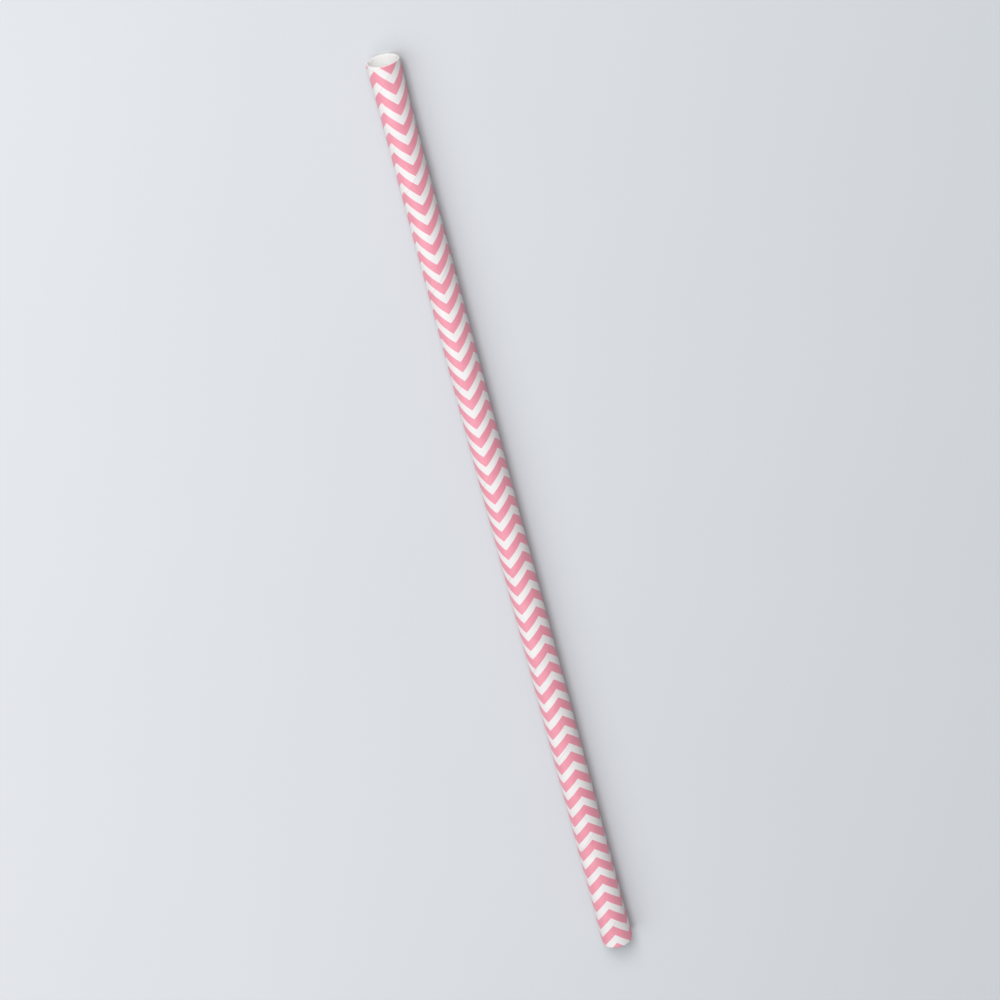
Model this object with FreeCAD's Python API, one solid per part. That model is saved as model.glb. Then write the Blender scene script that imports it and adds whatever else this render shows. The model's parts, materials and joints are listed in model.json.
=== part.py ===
import FreeCAD, Part
import math
import os

# A straight paper drinking straw, lying along X. Its underside touches Z = 0 and its middle is over the
# origin. All sizes are in millimetres and all angles in degrees.

# The tube
length = 197.0
outer_diameter = 6.0
wall = 0.4

# The strip that the straw lies on. The paper has settled flat there by a few hundredths of a millimetre,
# which is what keeps the straw from rolling.
rest_width = 1.2

# The mouth, at +X, and the foot, at -X. The knife that cuts the tube presses each end slightly flat, so
# the round section turns into a pointed oval there, whose underside stays in line with the tube's. The press
# is how far the paper leans in at the oval's two side creases, and the blend is how far the flattening runs
# along the tube before the section is round.
mouth_press = 7.0
mouth_blend = 11.0
foot_press = 5.0
foot_blend = 8.0

# Steps that the flattening is drawn in, from the cut end to the round tube
blend_steps = 5

radius = outer_diameter / 2
mid_radius = radius - wall / 2
axis_height = math.sqrt(radius**2 - (rest_width / 2) ** 2)
mouth_x = length / 2
foot_x = -length / 2


def oval_wire(x, press, offset):
    """The outline at x of two equal arcs that meet in a crease on each side.

    The wall's mid-line keeps the round tube's girth however hard it is pressed, because paper doesn't
    stretch. The outline runs offset outside that mid-line, or inside it where offset is negative.
    """
    half_angle = math.radians(90 - press)
    mid_arc = mid_radius * math.pi / (2 * half_angle)
    centre_drop = mid_arc * math.cos(half_angle)
    crease_height = axis_height - radius + mid_arc + wall / 2 - centre_drop
    arc_radius = mid_arc + offset
    half_width = math.sqrt(arc_radius**2 - centre_drop**2)
    half_height = arc_radius - centre_drop
    left = FreeCAD.Vector(x, half_width, crease_height)
    right = FreeCAD.Vector(x, -half_width, crease_height)
    top = FreeCAD.Vector(x, 0, crease_height + half_height)
    bottom = FreeCAD.Vector(x, 0, crease_height - half_height)
    upper = Part.Arc(left, top, right).toShape()
    lower = Part.Arc(right, bottom, left).toShape()
    return Part.Wire([upper, lower])


def pressed_end(cut_x, blend, press, offset):
    """The solid inside one end's outline, from the cut at cut_x inwards to the round tube."""
    inwards = -math.copysign(blend, cut_x)
    wires = []
    for step in range(blend_steps + 1):
        share = step / blend_steps
        fading = (1 - share) ** 2 * (1 + 2 * share)
        wires.append(oval_wire(cut_x + inwards * share, press * fading, offset))
    return Part.makeLoft(wires, True, False)


def round_middle(offset):
    """The solid inside the round tube's outline, between the two flattened ends."""
    start = foot_x + foot_blend
    return Part.makeCylinder(
        mid_radius + offset,
        mouth_x - mouth_blend - start,
        FreeCAD.Vector(start, 0, axis_height),
        FreeCAD.Vector(1, 0, 0),
    )


def space_below(height):
    """The space under a height, which the settled side of one surface of the paper stays out of."""
    corner = FreeCAD.Vector(foot_x - radius, -outer_diameter, height - radius)
    return Part.makeBox(length + outer_diameter, 2 * outer_diameter, radius, corner)


def outline_solid(offset):
    """Everything inside one surface of the paper, from the foot to the mouth, settled where it lies."""
    foot = pressed_end(foot_x, foot_blend, foot_press, offset)
    mouth = pressed_end(mouth_x, mouth_blend, mouth_press, offset)
    return round_middle(offset).fuse([foot, mouth]).cut(space_below(wall / 2 - offset))


def straw_tube():
    """The paper tube: its outer form less its bore, open at both ends."""
    return outline_solid(wall / 2).cut(outline_solid(-wall / 2))


os.makedirs("parts", exist_ok=True)
straw_tube().exportStep("parts/straw_tube.step")
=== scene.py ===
import json
import math

import bmesh
import bpy
from mathutils import Matrix, Vector, noise


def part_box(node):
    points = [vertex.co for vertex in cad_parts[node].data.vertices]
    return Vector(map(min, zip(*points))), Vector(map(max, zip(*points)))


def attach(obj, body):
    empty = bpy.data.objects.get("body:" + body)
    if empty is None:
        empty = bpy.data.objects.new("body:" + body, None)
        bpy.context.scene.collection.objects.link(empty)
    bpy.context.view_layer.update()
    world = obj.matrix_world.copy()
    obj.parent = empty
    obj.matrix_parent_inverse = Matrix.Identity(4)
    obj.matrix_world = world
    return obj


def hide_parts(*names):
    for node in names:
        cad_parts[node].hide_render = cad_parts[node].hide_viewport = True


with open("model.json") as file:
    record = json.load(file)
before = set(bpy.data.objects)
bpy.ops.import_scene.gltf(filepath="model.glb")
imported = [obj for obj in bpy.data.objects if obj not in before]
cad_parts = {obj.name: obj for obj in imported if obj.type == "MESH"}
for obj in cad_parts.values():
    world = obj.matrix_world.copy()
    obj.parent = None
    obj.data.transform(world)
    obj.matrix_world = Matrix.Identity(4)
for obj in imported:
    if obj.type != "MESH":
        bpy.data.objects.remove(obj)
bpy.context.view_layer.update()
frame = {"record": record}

# The straw's sizes are in millimetres and angles in degrees. MM turns millimetres into metres, which the
# floor, the camera and the lamps are given in.
MM = 0.001

# The tube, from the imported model: its length, its two radii and the height of its axis
mounts = {mount["name"]: mount for mount in frame["record"]["mounts"]}
lowest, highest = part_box("straw_tube")
LENGTH = (highest.x - lowest.x) / MM
MOUTH_X = highest.x / MM
RADIUS = mounts["outside"]["dims"]["r_mm"]
WALL = RADIUS - mounts["bore"]["dims"]["r_mm"]
MID_RADIUS = RADIUS - WALL / 2
AXIS_HEIGHT = mounts["outside"]["pos_m"][2] / MM

# The flattened ends, as in the part's source: how far the wall leans in at the side creases of the cut end,
# and how far from it the tube is round again
MOUTH_PRESS = 7.0
MOUTH_BLEND = 11.0
FOOT_PRESS = 5.0
FOOT_BLEND = 8.0

# The print: rows of zigzag, each with WAVES points round the tube, which lie ZIGZAG_HEIGHT nearer to the
# foot than the hollows between them. FIRST_ROW is where the hollows of the first pink row would start, from
# the mouth. The points lie APEX_AT_MOUTH from the top of the tube at the mouth, towards -Y, and creep round
# the tube by TWIST for each millimetre towards the foot.
WAVES = 3
ROW_PITCH = 4.15
PINK_WIDTH = 2.22
ZIGZAG_HEIGHT = 3.1
FIRST_ROW = -3.4
APEX_AT_MOUTH = 30.0
TWIST = -0.43

# The mesh: faces across half a wave of a row, and along each pink or white row. Points nearer than MERGE
# are one point, and a point of the flat sheet within MERGE of a cut is on it.
LEG_STEPS = 12
BAND_STEPS = 4
MERGE = 1e-4

# The cut ends: the depths in the wall at which the cut face has points, and the width of the faces beside
# the cut, which take up its fray and the rounding of its outer edge
RIM_DEPTHS = (0.0, 0.05, 0.2, 0.35, WALL)
RIM_ROW = 0.22
RIM_FRAY = 0.045
RIM_ROUNDING = 0.035

# The unevenness of the print's edges and of the cuts comes from a coarse and a fine noise, each given as
# its number of features in a millimetre.
EDGE_WANDER = 0.035
EDGE_NOISE = (1.3, 4.1)
FRAY_NOISE = (2.7, 9.0)

# The outer strip's edge, which winds round the tube. SEAM_FROM_MOUTH is where it crosses SEAM_ANGLE.
SEAM_PITCH = 21.0
SEAM_FROM_MOUTH = 3.5
SEAM_ANGLE = -5.5

# The map that colours are laid out on: the tube's length in MAP_PARTS strips, MAP_GAP apart, with the
# inside MAP_INSIDE as high as the outside, and each cut end in a strip MAP_RIM high
MAP_PARTS = 3
MAP_GAP = 1.5
MAP_INSIDE = 0.5
MAP_RIM = 2.0

# The material slots. On the map WHITE stands for the whole outside.
WHITE, PINK, INSIDE, RIM = range(4)


def pressed(from_mouth):
    """How far the wall leans in at the side creases, at a distance from the mouth."""
    from_foot = LENGTH - from_mouth
    ends = ((from_mouth, MOUTH_BLEND, MOUTH_PRESS), (from_foot, FOOT_BLEND, FOOT_PRESS))
    for distance, blend, press in ends:
        share = min(max(distance / blend, 0.0), 1.0)
        if share < 1:
            return press * (1 - share) ** 2 * (1 + 2 * share)
    return 0.0


def on_wall(from_mouth, angle, depth):
    """The point at a depth in the wall, at an angle from the tube's top towards -Y.

    The section is two arcs that meet at the side creases and keep the round wall's girth. Its underside is
    flat where the settled strip lies on the floor.
    """
    half_angle = math.radians(90 - pressed(from_mouth))
    mid_arc = MID_RADIUS * math.pi / (2 * half_angle)
    centre_drop = mid_arc * math.cos(half_angle)
    crease_height = AXIS_HEIGHT - RADIUS + mid_arc + WALL / 2 - centre_drop
    arc_radius = mid_arc + WALL / 2 - depth
    reach = math.acos(centre_drop / arc_radius)
    angle = (angle + 180) % 360 - 180
    side = 1 if abs(angle) <= 90 else -1
    swing = (angle if side > 0 else math.copysign(180, angle) - angle) / 90 * reach
    height = crease_height + side * (arc_radius * math.cos(swing) - centre_drop)
    return Vector((MOUTH_X - from_mouth, -arc_radius * math.sin(swing), max(height, depth)))


def wave_height(turn):
    """1 at a zigzag's points and 0 half a wave from them."""
    half_waves = turn * WAVES / 180 % 2
    return abs(half_waves - 1)


def angle_of(from_mouth, turn):
    """The angle from the tube's top of a place a turn away from the line of points."""
    return APEX_AT_MOUTH + TWIST * from_mouth + turn


def noise_pair(at, features):
    """Coarse and fine noise at a point, each from about -1 to 1."""
    coarse, fine = features
    return noise.noise(at * coarse), noise.noise(at * fine)


def wander(from_mouth, turn):
    """The small unevenness of the print's edges, the same where the sheet's two sides meet."""
    at = on_wall(min(max(from_mouth, 0), LENGTH), angle_of(from_mouth, turn), 0)
    coarse, fine = noise_pair(at, EDGE_NOISE)
    return EDGE_WANDER * (coarse + 0.5 * fine)


def frayed(from_mouth, turn, depth):
    """A distance from the mouth, moved in near a cut end by its fray and its rounded outer edge."""
    from_cut = min(from_mouth, LENGTH - from_mouth)
    if from_cut >= RIM_ROW:
        return from_mouth
    at = on_wall(from_mouth, angle_of(from_mouth, turn), depth)
    coarse, fine = noise_pair(at, FRAY_NOISE)
    fray = RIM_FRAY * (0.4 + 0.6 * coarse + 0.3 * fine)
    inwards = max(fray, 0) + (RIM_ROUNDING if depth == 0 else 0)
    return from_mouth + math.copysign(inwards * (1 - from_cut / RIM_ROW), LENGTH / 2 - from_mouth)


def line_of_points(bm, start):
    """A zigzag line of points across the flat sheet, whose hollows are at a distance from the mouth."""
    columns = 2 * WAVES * LEG_STEPS
    points = []
    for column in range(columns + 1):
        turn = 360 * column / columns
        from_mouth = start + ZIGZAG_HEIGHT * wave_height(turn)
        from_mouth += wander(from_mouth, turn)
        points.append(bm.verts.new((from_mouth, turn, 0)))
    return points


def printed_lines(bm):
    """The lines of points that bound the sheet's faces, each with the slot of the faces after it."""
    bands = ((0, PINK_WIDTH, PINK), (PINK_WIDTH, ROW_PITCH - PINK_WIDTH, WHITE))
    lines = []
    for row in range(-1, math.ceil((LENGTH - FIRST_ROW) / ROW_PITCH) + 1):
        for start, width, slot in bands:
            for step in range(BAND_STEPS):
                at = FIRST_ROW + ROW_PITCH * row + start + width * step / BAND_STEPS
                lines.append((line_of_points(bm, at), slot))
    return lines


def cut(bm, place, outwards, clears):
    """Cut the flat sheet at a distance from the mouth. What is beyond goes where clears is true."""
    bmesh.ops.bisect_plane(
        bm,
        geom=bm.verts[:] + bm.edges[:] + bm.faces[:],
        dist=MERGE / 10,
        plane_co=(place, 0, 0),
        plane_no=(outwards, 0, 0),
        clear_outer=clears,
    )


def printed_sheet():
    """The tube's paper laid flat: x is the distance from the mouth and y the turn from a line of points.

    Its rows of faces follow the print, so that each face is all pink or all white.
    """
    bm = bmesh.new()
    lines = printed_lines(bm)
    for (near, slot), (far, _) in zip(lines, lines[1:]):
        for column in range(len(near) - 1):
            corners = (near[column], near[column + 1], far[column + 1], far[column])
            bm.faces.new(corners).material_index = slot
    cut(bm, RIM_ROW, -1, clears=False)
    cut(bm, 0, -1, clears=True)
    cut(bm, LENGTH - RIM_ROW, 1, clears=False)
    cut(bm, LENGTH, 1, clears=True)
    bm.verts.index_update()
    return bm


def map_place(surface, part, from_mouth, turn, depth):
    """The place of a point on the colour map, from 0 to 1 each way."""
    part_length = LENGTH / MAP_PARTS
    girth = 2 * math.pi * RADIUS
    inner_girth = girth * MAP_INSIDE
    row_height = girth + inner_girth + 2 * MAP_GAP
    height = MAP_PARTS * row_height + 2 * (MAP_RIM + MAP_GAP)
    width = part_length + 2 * ZIGZAG_HEIGHT
    if surface == RIM:
        across = turn / 360 * width
        up = MAP_PARTS * row_height + part * (MAP_RIM + MAP_GAP) + depth / WALL * MAP_RIM
    else:
        across = from_mouth - part * part_length + ZIGZAG_HEIGHT
        base = part * row_height + (girth + MAP_GAP if surface == INSIDE else 0)
        up = base + turn / 360 * (inner_girth if surface == INSIDE else girth)
    return across / width, (up + MAP_GAP / 2) / height


def print_behind(from_mouth, turn):
    """1 behind the middle of a pink row and 0 behind that of a white one, with a soft change between."""
    row = (from_mouth - FIRST_ROW - ZIGZAG_HEIGHT * wave_height(turn)) / ROW_PITCH
    middle = PINK_WIDTH / ROW_PITCH / 2
    return 0.5 + 0.5 * math.cos(2 * math.pi * (row - middle))


class Roll:
    """A mesh rolled up from the flat sheet. A corner is given as a point of the sheet and a depth."""

    def __init__(self):
        self.bm = bmesh.new()
        self.uv = self.bm.loops.layers.uv.new("OFBake")
        self.behind_print = self.bm.verts.layers.float.new("behind_print")
        self.made = {}

    def vertex(self, flat, depth):
        """The rolled point of a corner, made once."""
        key = (flat.index, depth)
        if key not in self.made:
            from_mouth, turn = flat.co.x, flat.co.y
            place = on_wall(frayed(from_mouth, turn, depth), angle_of(from_mouth, turn), depth)
            new = self.bm.verts.new(place)
            new[self.behind_print] = print_behind(from_mouth, turn)
            self.made[key] = new
        return self.made[key]

    def face(self, corners, surface, slot, part):
        new = self.bm.faces.new([self.vertex(flat, depth) for flat, depth in corners])
        new.material_index = slot
        new.smooth = True
        for loop, (flat, depth) in zip(new.loops, corners):
            loop[self.uv].uv = map_place(surface, part, flat.co.x, flat.co.y, depth)

    def wall(self, flat_face):
        """The outer and the inner face under one face of the sheet."""
        flats = list(flat_face.verts)
        middle = sum(flat.co.x for flat in flats) / len(flats)
        part = min(int(middle / LENGTH * MAP_PARTS), MAP_PARTS - 1)
        self.face([(flat, 0.0) for flat in flats], WHITE, flat_face.material_index, part)
        self.face([(flat, WALL) for flat in reversed(flats)], INSIDE, INSIDE, part)

    def rim(self, edge):
        """The faces of the cut through the wall along one edge of the sheet."""
        a, b = edge.verts
        end = 0 if a.co.x < LENGTH / 2 else 1
        for outer, inner in zip(RIM_DEPTHS, RIM_DEPTHS[1:]):
            self.face([(a, outer), (b, outer), (b, inner), (a, inner)], RIM, RIM, end)


def on_cut(flat):
    return min(abs(flat.co.x), abs(flat.co.x - LENGTH)) < MERGE


def rolled_tube():
    """The straw's mesh: the printed sheet rolled up, with its inner side and its two cut ends."""
    sheet = printed_sheet()
    roll = Roll()
    for flat_face in sheet.faces:
        roll.wall(flat_face)
    for edge in sheet.edges:
        if all(on_cut(flat) for flat in edge.verts):
            roll.rim(edge)
    sheet.free()
    bm = roll.bm
    bmesh.ops.remove_doubles(bm, verts=bm.verts[:], dist=MERGE)
    bmesh.ops.recalc_face_normals(bm, faces=bm.faces[:])
    bmesh.ops.scale(bm, vec=(MM, MM, MM), verts=bm.verts[:])
    mesh = bpy.data.meshes.new("paper_straw")
    bm.to_mesh(mesh)
    bm.free()
    return mesh


def node(tree, kind, **settings):
    """A new node. A setting that the node lacks is the value of its input of that name."""
    new = tree.nodes.new(kind)
    for name, value in settings.items():
        if hasattr(new, name):
            setattr(new, name, value)
        else:
            new.inputs[name].default_value = value
    return new


def math_node(tree, operation, first, second=None):
    """A Math node's output, where each operand is a number or another node's output."""
    new = node(tree, "ShaderNodeMath", operation=operation)
    for socket, value in zip(new.inputs, (first, second)):
        if isinstance(value, (int, float)):
            socket.default_value = value
        elif value is not None:
            tree.links.new(value, socket)
    return new.outputs[0]


def blend_of(tree, first, first_share, second, second_share):
    """The sum of two values, each times its share."""
    return math_node(
        tree,
        "ADD",
        math_node(tree, "MULTIPLY", first, first_share),
        math_node(tree, "MULTIPLY", second, second_share),
    )


def ranged(tree, value, low, high, to_low, to_high):
    """value run from low..high to to_low..to_high, and held at the two ends."""
    new = node(tree, "ShaderNodeMapRange")
    for name, number in (("From Min", low), ("From Max", high), ("To Min", to_low), ("To Max", to_high)):
        new.inputs[name].default_value = number
    tree.links.new(value, new.inputs["Value"])
    return new.outputs["Result"]


def mixed(tree, factor, first, second):
    """first where factor is 0 and second where it is 1. Each is a colour or another node's output."""
    new = node(tree, "ShaderNodeMix", data_type="RGBA")
    for socket, value in zip((new.inputs[0], new.inputs[6], new.inputs[7]), (factor, first, second)):
        if isinstance(value, (int, float, tuple)):
            socket.default_value = value
        else:
            tree.links.new(value, socket)
    return new.outputs[2]


def grain(tree, place, size, stretch=(1, 1, 1), turned=0, detail=3):
    """Noise with features about size across, in millimetres, drawn out by stretch and turned about Z."""
    mapping = node(tree, "ShaderNodeMapping")
    mapping.inputs["Rotation"].default_value = (0, 0, math.radians(turned))
    mapping.inputs["Scale"].default_value = tuple(1 / (size * MM * times) for times in stretch)
    tree.links.new(place, mapping.inputs["Vector"])
    new = node(tree, "ShaderNodeTexNoise", Scale=1.0, Detail=detail, Roughness=0.6)
    tree.links.new(mapping.outputs[0], new.inputs["Vector"])
    return new.outputs["Fac"]


def seam_distance(tree, place):
    """How far along the tube the outer strip's edge is, from 0 at the edge to 1 a whole winding later."""
    parts = node(tree, "ShaderNodeSeparateXYZ")
    tree.links.new(place, parts.inputs[0])
    across = math_node(tree, "MULTIPLY", parts.outputs["Y"], -1.0)
    above = math_node(tree, "SUBTRACT", parts.outputs["Z"], AXIS_HEIGHT * MM)
    turn = math_node(tree, "DIVIDE", math_node(tree, "ARCTAN2", across, above), 2 * math.pi)
    along = math_node(tree, "DIVIDE", parts.outputs["X"], -SEAM_PITCH * MM)
    start = (MOUTH_X - SEAM_FROM_MOUTH) / SEAM_PITCH - SEAM_ANGLE / 360
    winding = math_node(tree, "ADD", math_node(tree, "ADD", turn, along), start)
    return math_node(tree, "FRACT", winding)


def new_material(name):
    """A material with an empty node tree, its Principled shader and the object's own coordinates."""
    material = bpy.data.materials.new(name)
    material.use_nodes = True
    tree = material.node_tree
    tree.nodes.clear()
    shader = node(tree, "ShaderNodeBsdfPrincipled")
    output = node(tree, "ShaderNodeOutputMaterial")
    tree.links.new(shader.outputs[0], output.inputs[0])
    place = node(tree, "ShaderNodeTexCoord").outputs["Object"]
    return material, tree, shader, place


# The papers' colours, each as a light and a dark shade, and those of the bare flecks in the ink, of the
# print as it shows on the inside and of the shadow at the outer strip's edge
WHITE_SHADES = (0.86, 0.837, 0.843, 1), (0.8, 0.775, 0.782, 1)
PINK_SHADES = (0.86, 0.334, 0.424, 1), (0.8, 0.272, 0.364, 1)
INNER_SHADES = (0.955, 0.955, 0.948, 1), (0.92, 0.92, 0.912, 1)
CUT_SHADES = (0.93, 0.92, 0.908, 1), (0.8, 0.785, 0.77, 1)
FLECK_COLOUR = (0.9, 0.58, 0.64, 1)
BEHIND_COLOUR = (0.88, 0.6, 0.64, 1)
BEHIND_SHARE = 0.06
SEAM_COLOUR = (0.42, 0.26, 0.28, 1)

# The papers' surface: the sizes of their clouds, their tooth and their fibres, which are FIBRE_STRETCH times
# as long as wide and lie two ways, and their bumps, which are stronger on a cut edge
CLOUD_SIZE = 3.2
TOOTH_SIZE = 0.22
FIBRE_WIDTH = 0.13
FIBRE_STRETCH = 9
FIBRE_TURNS = (28, -17)
BUMP_DEPTH = 0.035
BUMP_STRENGTH = 0.55
CUT_BUMP_STRENGTH = 1.0

# The values of the noises between which a paper turns from dark to light, loses up to BARE_SHARE of its ink,
# and changes its roughness
SHADE_SPAN = (0.38, 0.68)
BARE_SPAN = (0.36, 0.46)
BARE_SHARE = 0.42
TOOTH_SPAN = (0.3, 0.7)
ROUGHNESS_CHANGE = (-0.07, 0.09)

# The look of the outer strip's edge: the shares of a winding at which its shadow is darkest and ends, and at
# which its step has sloped away, and the step's height in BUMP_DEPTH
SHADOW_SPAN = (0.001, 0.006)
SHADOW_DARKNESS = 0.34
STEP_LENGTH = 0.09
STEP_HEIGHT = 2.6


def fibres_of(tree, place):
    one_way, other_way = FIBRE_TURNS
    along = grain(tree, place, FIBRE_WIDTH, stretch=(FIBRE_STRETCH, 1, 1), turned=one_way)
    across = grain(tree, place, FIBRE_WIDTH, stretch=(1, FIBRE_STRETCH, 1), turned=other_way)
    return math_node(tree, "MAXIMUM", along, across)


def with_seam(tree, place, colour, height):
    """colour and height with the outer strip's edge: a thin shadow, and a step that slopes away."""
    winding = seam_distance(tree, place)
    from_edge = math_node(tree, "MINIMUM", winding, math_node(tree, "SUBTRACT", 1.0, winding))
    shadow = ranged(tree, from_edge, *SHADOW_SPAN, SHADOW_DARKNESS, 0.0)
    step = ranged(tree, winding, 0.0, STEP_LENGTH, STEP_HEIGHT, 0.0)
    return mixed(tree, shadow, colour, SEAM_COLOUR), math_node(tree, "ADD", height, step)


def paper(name, shades, roughness, flecks=None, seam=False, bump_strength=BUMP_STRENGTH):
    """Paper between two shades, with clouds, fibres and tooth. seam adds the outer strip's edge."""
    material, tree, shader, place = new_material(name)
    light, dark = shades
    clouds = grain(tree, place, CLOUD_SIZE)
    tooth = grain(tree, place, TOOTH_SIZE, detail=4)
    fibres = fibres_of(tree, place)
    shade = blend_of(tree, clouds, 0.5, fibres, 0.5)
    colour = mixed(tree, ranged(tree, shade, *SHADE_SPAN, 0, 1), dark, light)
    if flecks:
        bare = ranged(tree, math_node(tree, "MULTIPLY", tooth, fibres), *BARE_SPAN, 0.0, BARE_SHARE)
        colour = mixed(tree, bare, colour, flecks)
    height = blend_of(tree, tooth, 0.6, fibres, 0.7)
    if seam:
        colour, height = with_seam(tree, place, colour, height)
    tree.links.new(colour, shader.inputs["Base Color"])
    smoothest, roughest = (roughness + change for change in ROUGHNESS_CHANGE)
    tree.links.new(ranged(tree, tooth, *TOOTH_SPAN, smoothest, roughest), shader.inputs["Roughness"])
    bump = node(tree, "ShaderNodeBump", Strength=bump_strength, Distance=BUMP_DEPTH * MM)
    tree.links.new(height, bump.inputs["Height"])
    tree.links.new(bump.outputs[0], shader.inputs["Normal"])
    return material, tree, shader, colour


def white_print():
    material, _, shader, _ = paper("white_outer_paper", WHITE_SHADES, roughness=0.46, seam=True)
    shader.inputs["Specular IOR Level"].default_value = 0.42
    return material


def pink_print():
    """The ink, which is glossier than the paper and lets a little of it show."""
    material, _, shader, _ = paper(
        "pink_printed_paper", PINK_SHADES, roughness=0.4, flecks=FLECK_COLOUR, seam=True
    )
    shader.inputs["Specular IOR Level"].default_value = 0.85
    return material


def inner_paper():
    """The plain inside, which the print and the light outside show through a little."""
    material, tree, shader, colour = paper("plain_inner_paper", INNER_SHADES, roughness=0.68)
    behind = node(tree, "ShaderNodeAttribute", attribute_name="behind_print")
    share = math_node(tree, "MULTIPLY", behind.outputs["Fac"], BEHIND_SHARE)
    tree.links.new(mixed(tree, share, colour, BEHIND_COLOUR), shader.inputs["Base Color"])
    shader.inputs["Subsurface Weight"].default_value = 0.4
    shader.inputs["Subsurface Radius"].default_value = (1.0, 0.88, 0.86)
    shader.inputs["Subsurface Scale"].default_value = WALL * MM
    return material


def cut_paper():
    material, *_ = paper("cut_paper_edge", CUT_SHADES, roughness=0.75, bump_strength=CUT_BUMP_STRENGTH)
    return material


def straw():
    """The whole straw, in place of the CAD tube."""
    piece = bpy.data.objects.new("paper_straw", rolled_tube())
    bpy.context.scene.collection.objects.link(piece)
    for material in (white_print(), pink_print(), inner_paper(), cut_paper()):
        piece.data.materials.append(material)
    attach(piece, "root")
    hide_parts("straw_tube")


# The camera is CAMERA_DISTANCE from the straw's mouth. The line of sight makes SIGHT_ANGLE with the straw
# there and leans by SIGHT_LEAN from straight above it. The straw then runs down the picture at PICTURE_LEAN
# from upright, over PICTURE_LENGTH of the frame's side.
CAMERA_DISTANCE = 1.0
SIGHT_ANGLE = 66.0
SIGHT_LEAN = 12.0
PICTURE_LEAN = 15.0
PICTURE_LENGTH = 0.91
SENSOR = 36.0
CLIP_START = 0.05


def camera():
    mouth = Vector((MOUTH_X, 0, AXIS_HEIGHT)) * MM
    foot = Vector((MOUTH_X - LENGTH, 0, AXIS_HEIGHT)) * MM
    sight, lean, roll = (math.radians(angle) for angle in (SIGHT_ANGLE, SIGHT_LEAN, PICTURE_LEAN))
    towards_camera = Vector((
        math.cos(sight),
        -math.sin(sight) * math.sin(lean),
        math.sin(sight) * math.cos(lean),
    ))
    place = mouth + towards_camera * CAMERA_DISTANCE
    to_mouth = (mouth - place).normalized()
    to_foot = (foot - place).normalized()
    back = -(to_mouth + to_foot).normalized()
    along = to_mouth - to_foot
    along = (along - back * along.dot(back)).normalized()
    beside = back.cross(along)
    up = along * math.cos(roll) - beside * math.sin(roll)
    right = up.cross(back)
    data = bpy.data.cameras.new("camera")
    data.sensor_width = SENSOR
    data.lens = SENSOR * PICTURE_LENGTH / 2 / math.tan(to_mouth.angle(to_foot) / 2)
    data.clip_start = CLIP_START
    new = bpy.data.objects.new("camera", data)
    new.matrix_world = Matrix((right, up, back)).transposed().to_4x4()
    new.location = place
    bpy.context.scene.collection.objects.link(new)
    bpy.context.scene.camera = new


# The floor reaches FLOOR_REACH each way. It turns paler towards +Y over FLOOR_FADE, which clouds of
# FLOOR_CLOUD_SIZE, in millimetres, shift by up to FLOOR_CLOUD_SHIFT. This is painted light towards +Y,
# where the side lamp is, and painted shade towards -Y, between the floor's lit and shaded colours. It
# turns darker towards +X over LAMP_FADE, because the front lamp is close above it there. The light that
# it throws on the straw has FLOOR_FOR_STRAW.
FLOOR_REACH = 3.0
# The floor's shaded and lit colours: painted shade towards -Y and painted light towards +Y
FLOOR_SHADED_AND_LIT = (0.56, 0.592, 0.622, 1), (0.71, 0.732, 0.772, 1)
FLOOR_FADE = (-0.1, 0.14)
FLOOR_CLOUD_SIZE = 90
FLOOR_CLOUD_SHIFT = 0.04
FLOOR_UNDER_LAMP = (0.22, 0.232, 0.247, 1)
LAMP_FADE = (0.2, 1.4)
FLOOR_FOR_STRAW = (0.36, 0.34, 0.345, 1)


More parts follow.
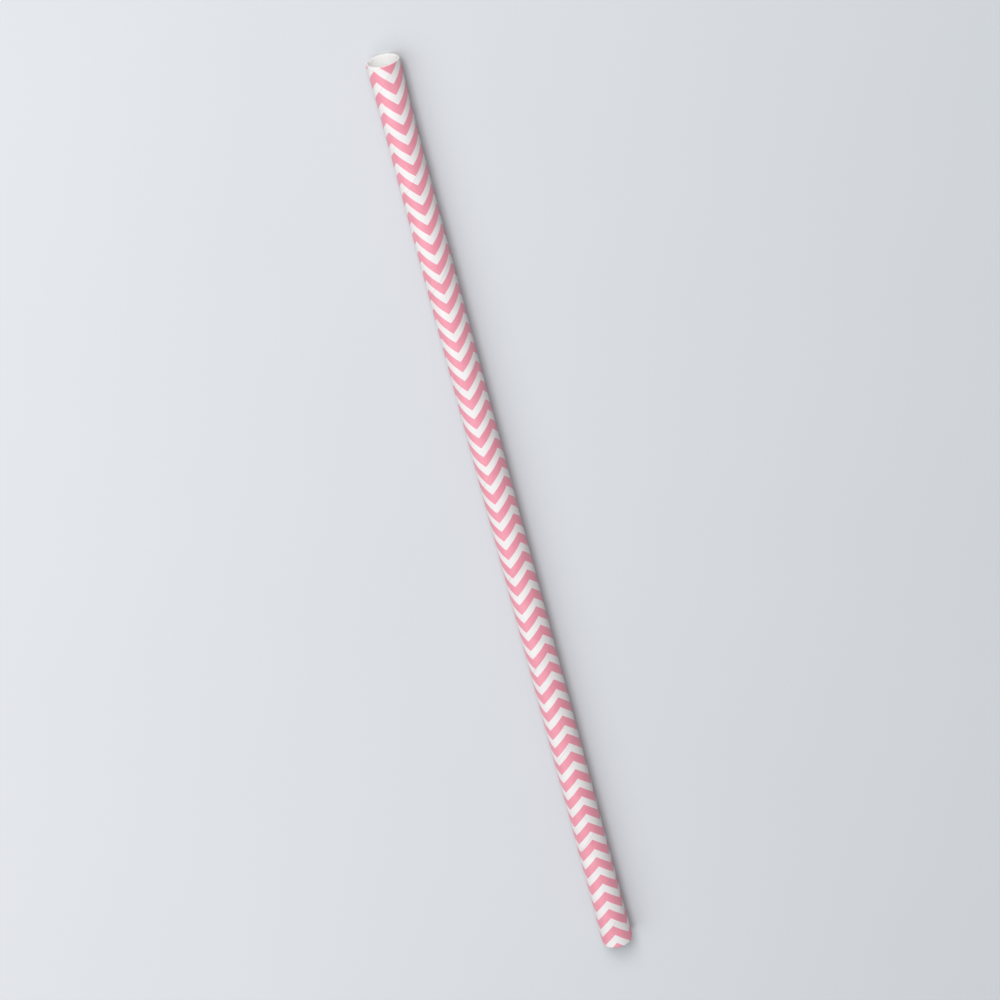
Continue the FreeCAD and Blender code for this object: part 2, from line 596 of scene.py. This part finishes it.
def floor_colour(tree, place):
    """The floor's colour where it is seen, in reflections too, and the one that lights the straw."""
    parts = node(tree, "ShaderNodeSeparateXYZ")
    tree.links.new(place, parts.inputs[0])
    clouds = math_node(tree, "MULTIPLY", grain(tree, place, FLOOR_CLOUD_SIZE), FLOOR_CLOUD_SHIFT)
    leftwards = math_node(tree, "ADD", parts.outputs["Y"], clouds)
    # Painted light towards +Y, the side lamp's side, and painted shade towards -Y
    seen = mixed(tree, ranged(tree, leftwards, *FLOOR_FADE, 0, 1), *FLOOR_SHADED_AND_LIT)
    under_lamp = ranged(tree, parts.outputs["X"], *LAMP_FADE, 0, 1)
    seen = mixed(tree, under_lamp, seen, FLOOR_UNDER_LAMP)
    ray = node(tree, "ShaderNodeLightPath")
    is_seen = math_node(tree, "MAXIMUM", ray.outputs["Is Camera Ray"], ray.outputs["Is Glossy Ray"])
    is_seen = math_node(tree, "MAXIMUM", is_seen, ray.outputs["Is Transmission Ray"])
    return mixed(tree, is_seen, FLOOR_FOR_STRAW, seen)


def floor():
    """The pale floor that the straw lies on."""
    reach = FLOOR_REACH
    corners = [(-reach, -reach, 0), (reach, -reach, 0), (reach, reach, 0), (-reach, reach, 0)]
    mesh = bpy.data.meshes.new("floor")
    mesh.from_pydata(corners, [], [(0, 1, 2, 3)])
    new = bpy.data.objects.new("floor", mesh)
    bpy.context.scene.collection.objects.link(new)
    material, tree, shader, place = new_material("pale_floor")
    tree.links.new(floor_colour(tree, place), shader.inputs["Base Color"])
    shader.inputs["Roughness"].default_value = 0.9
    shader.inputs["Specular IOR Level"].default_value = 0.0
    mesh.materials.append(material)


def lamp(name, turn, lean, distance, size, strength):
    """A square soft lamp aimed at the straw's middle.

    Its direction is turned from straight above towards -Y, then leans from there towards the mouth.
    """
    turn, lean = math.radians(turn), math.radians(lean)
    sideways = -math.cos(lean) * math.sin(turn)
    upwards = math.cos(lean) * math.cos(turn)
    direction = Vector((math.sin(lean), sideways, upwards))
    data = bpy.data.lights.new(name, "AREA")
    data.shape = "SQUARE"
    data.size = size
    data.energy = strength
    new = bpy.data.objects.new(name, data)
    new.location = direction * distance
    new.rotation_euler = direction.to_track_quat("Z", "Y").to_euler()
    bpy.context.scene.collection.objects.link(new)


def glow(colour, strength):
    """An even light from all round."""
    world = bpy.data.worlds.new("studio")
    world.use_nodes = True
    background = world.node_tree.nodes["Background"]
    background.inputs["Color"].default_value = colour
    background.inputs["Strength"].default_value = strength
    bpy.context.scene.world = world


def light():
    """Soft studio light. The side lamp gives the straw its sheen, and the front one lights its mouth too."""
    lamp("side", turn=-32, lean=-6, distance=1.8, size=2.2, strength=17.8)
    lamp("front", turn=2, lean=45, distance=1.9, size=0.95, strength=27.6)
    glow(colour=(1.0, 0.98, 0.975, 1), strength=0.28)


bpy.context.scene.view_settings.view_transform = "Standard"
camera()
light()
floor()
straw()
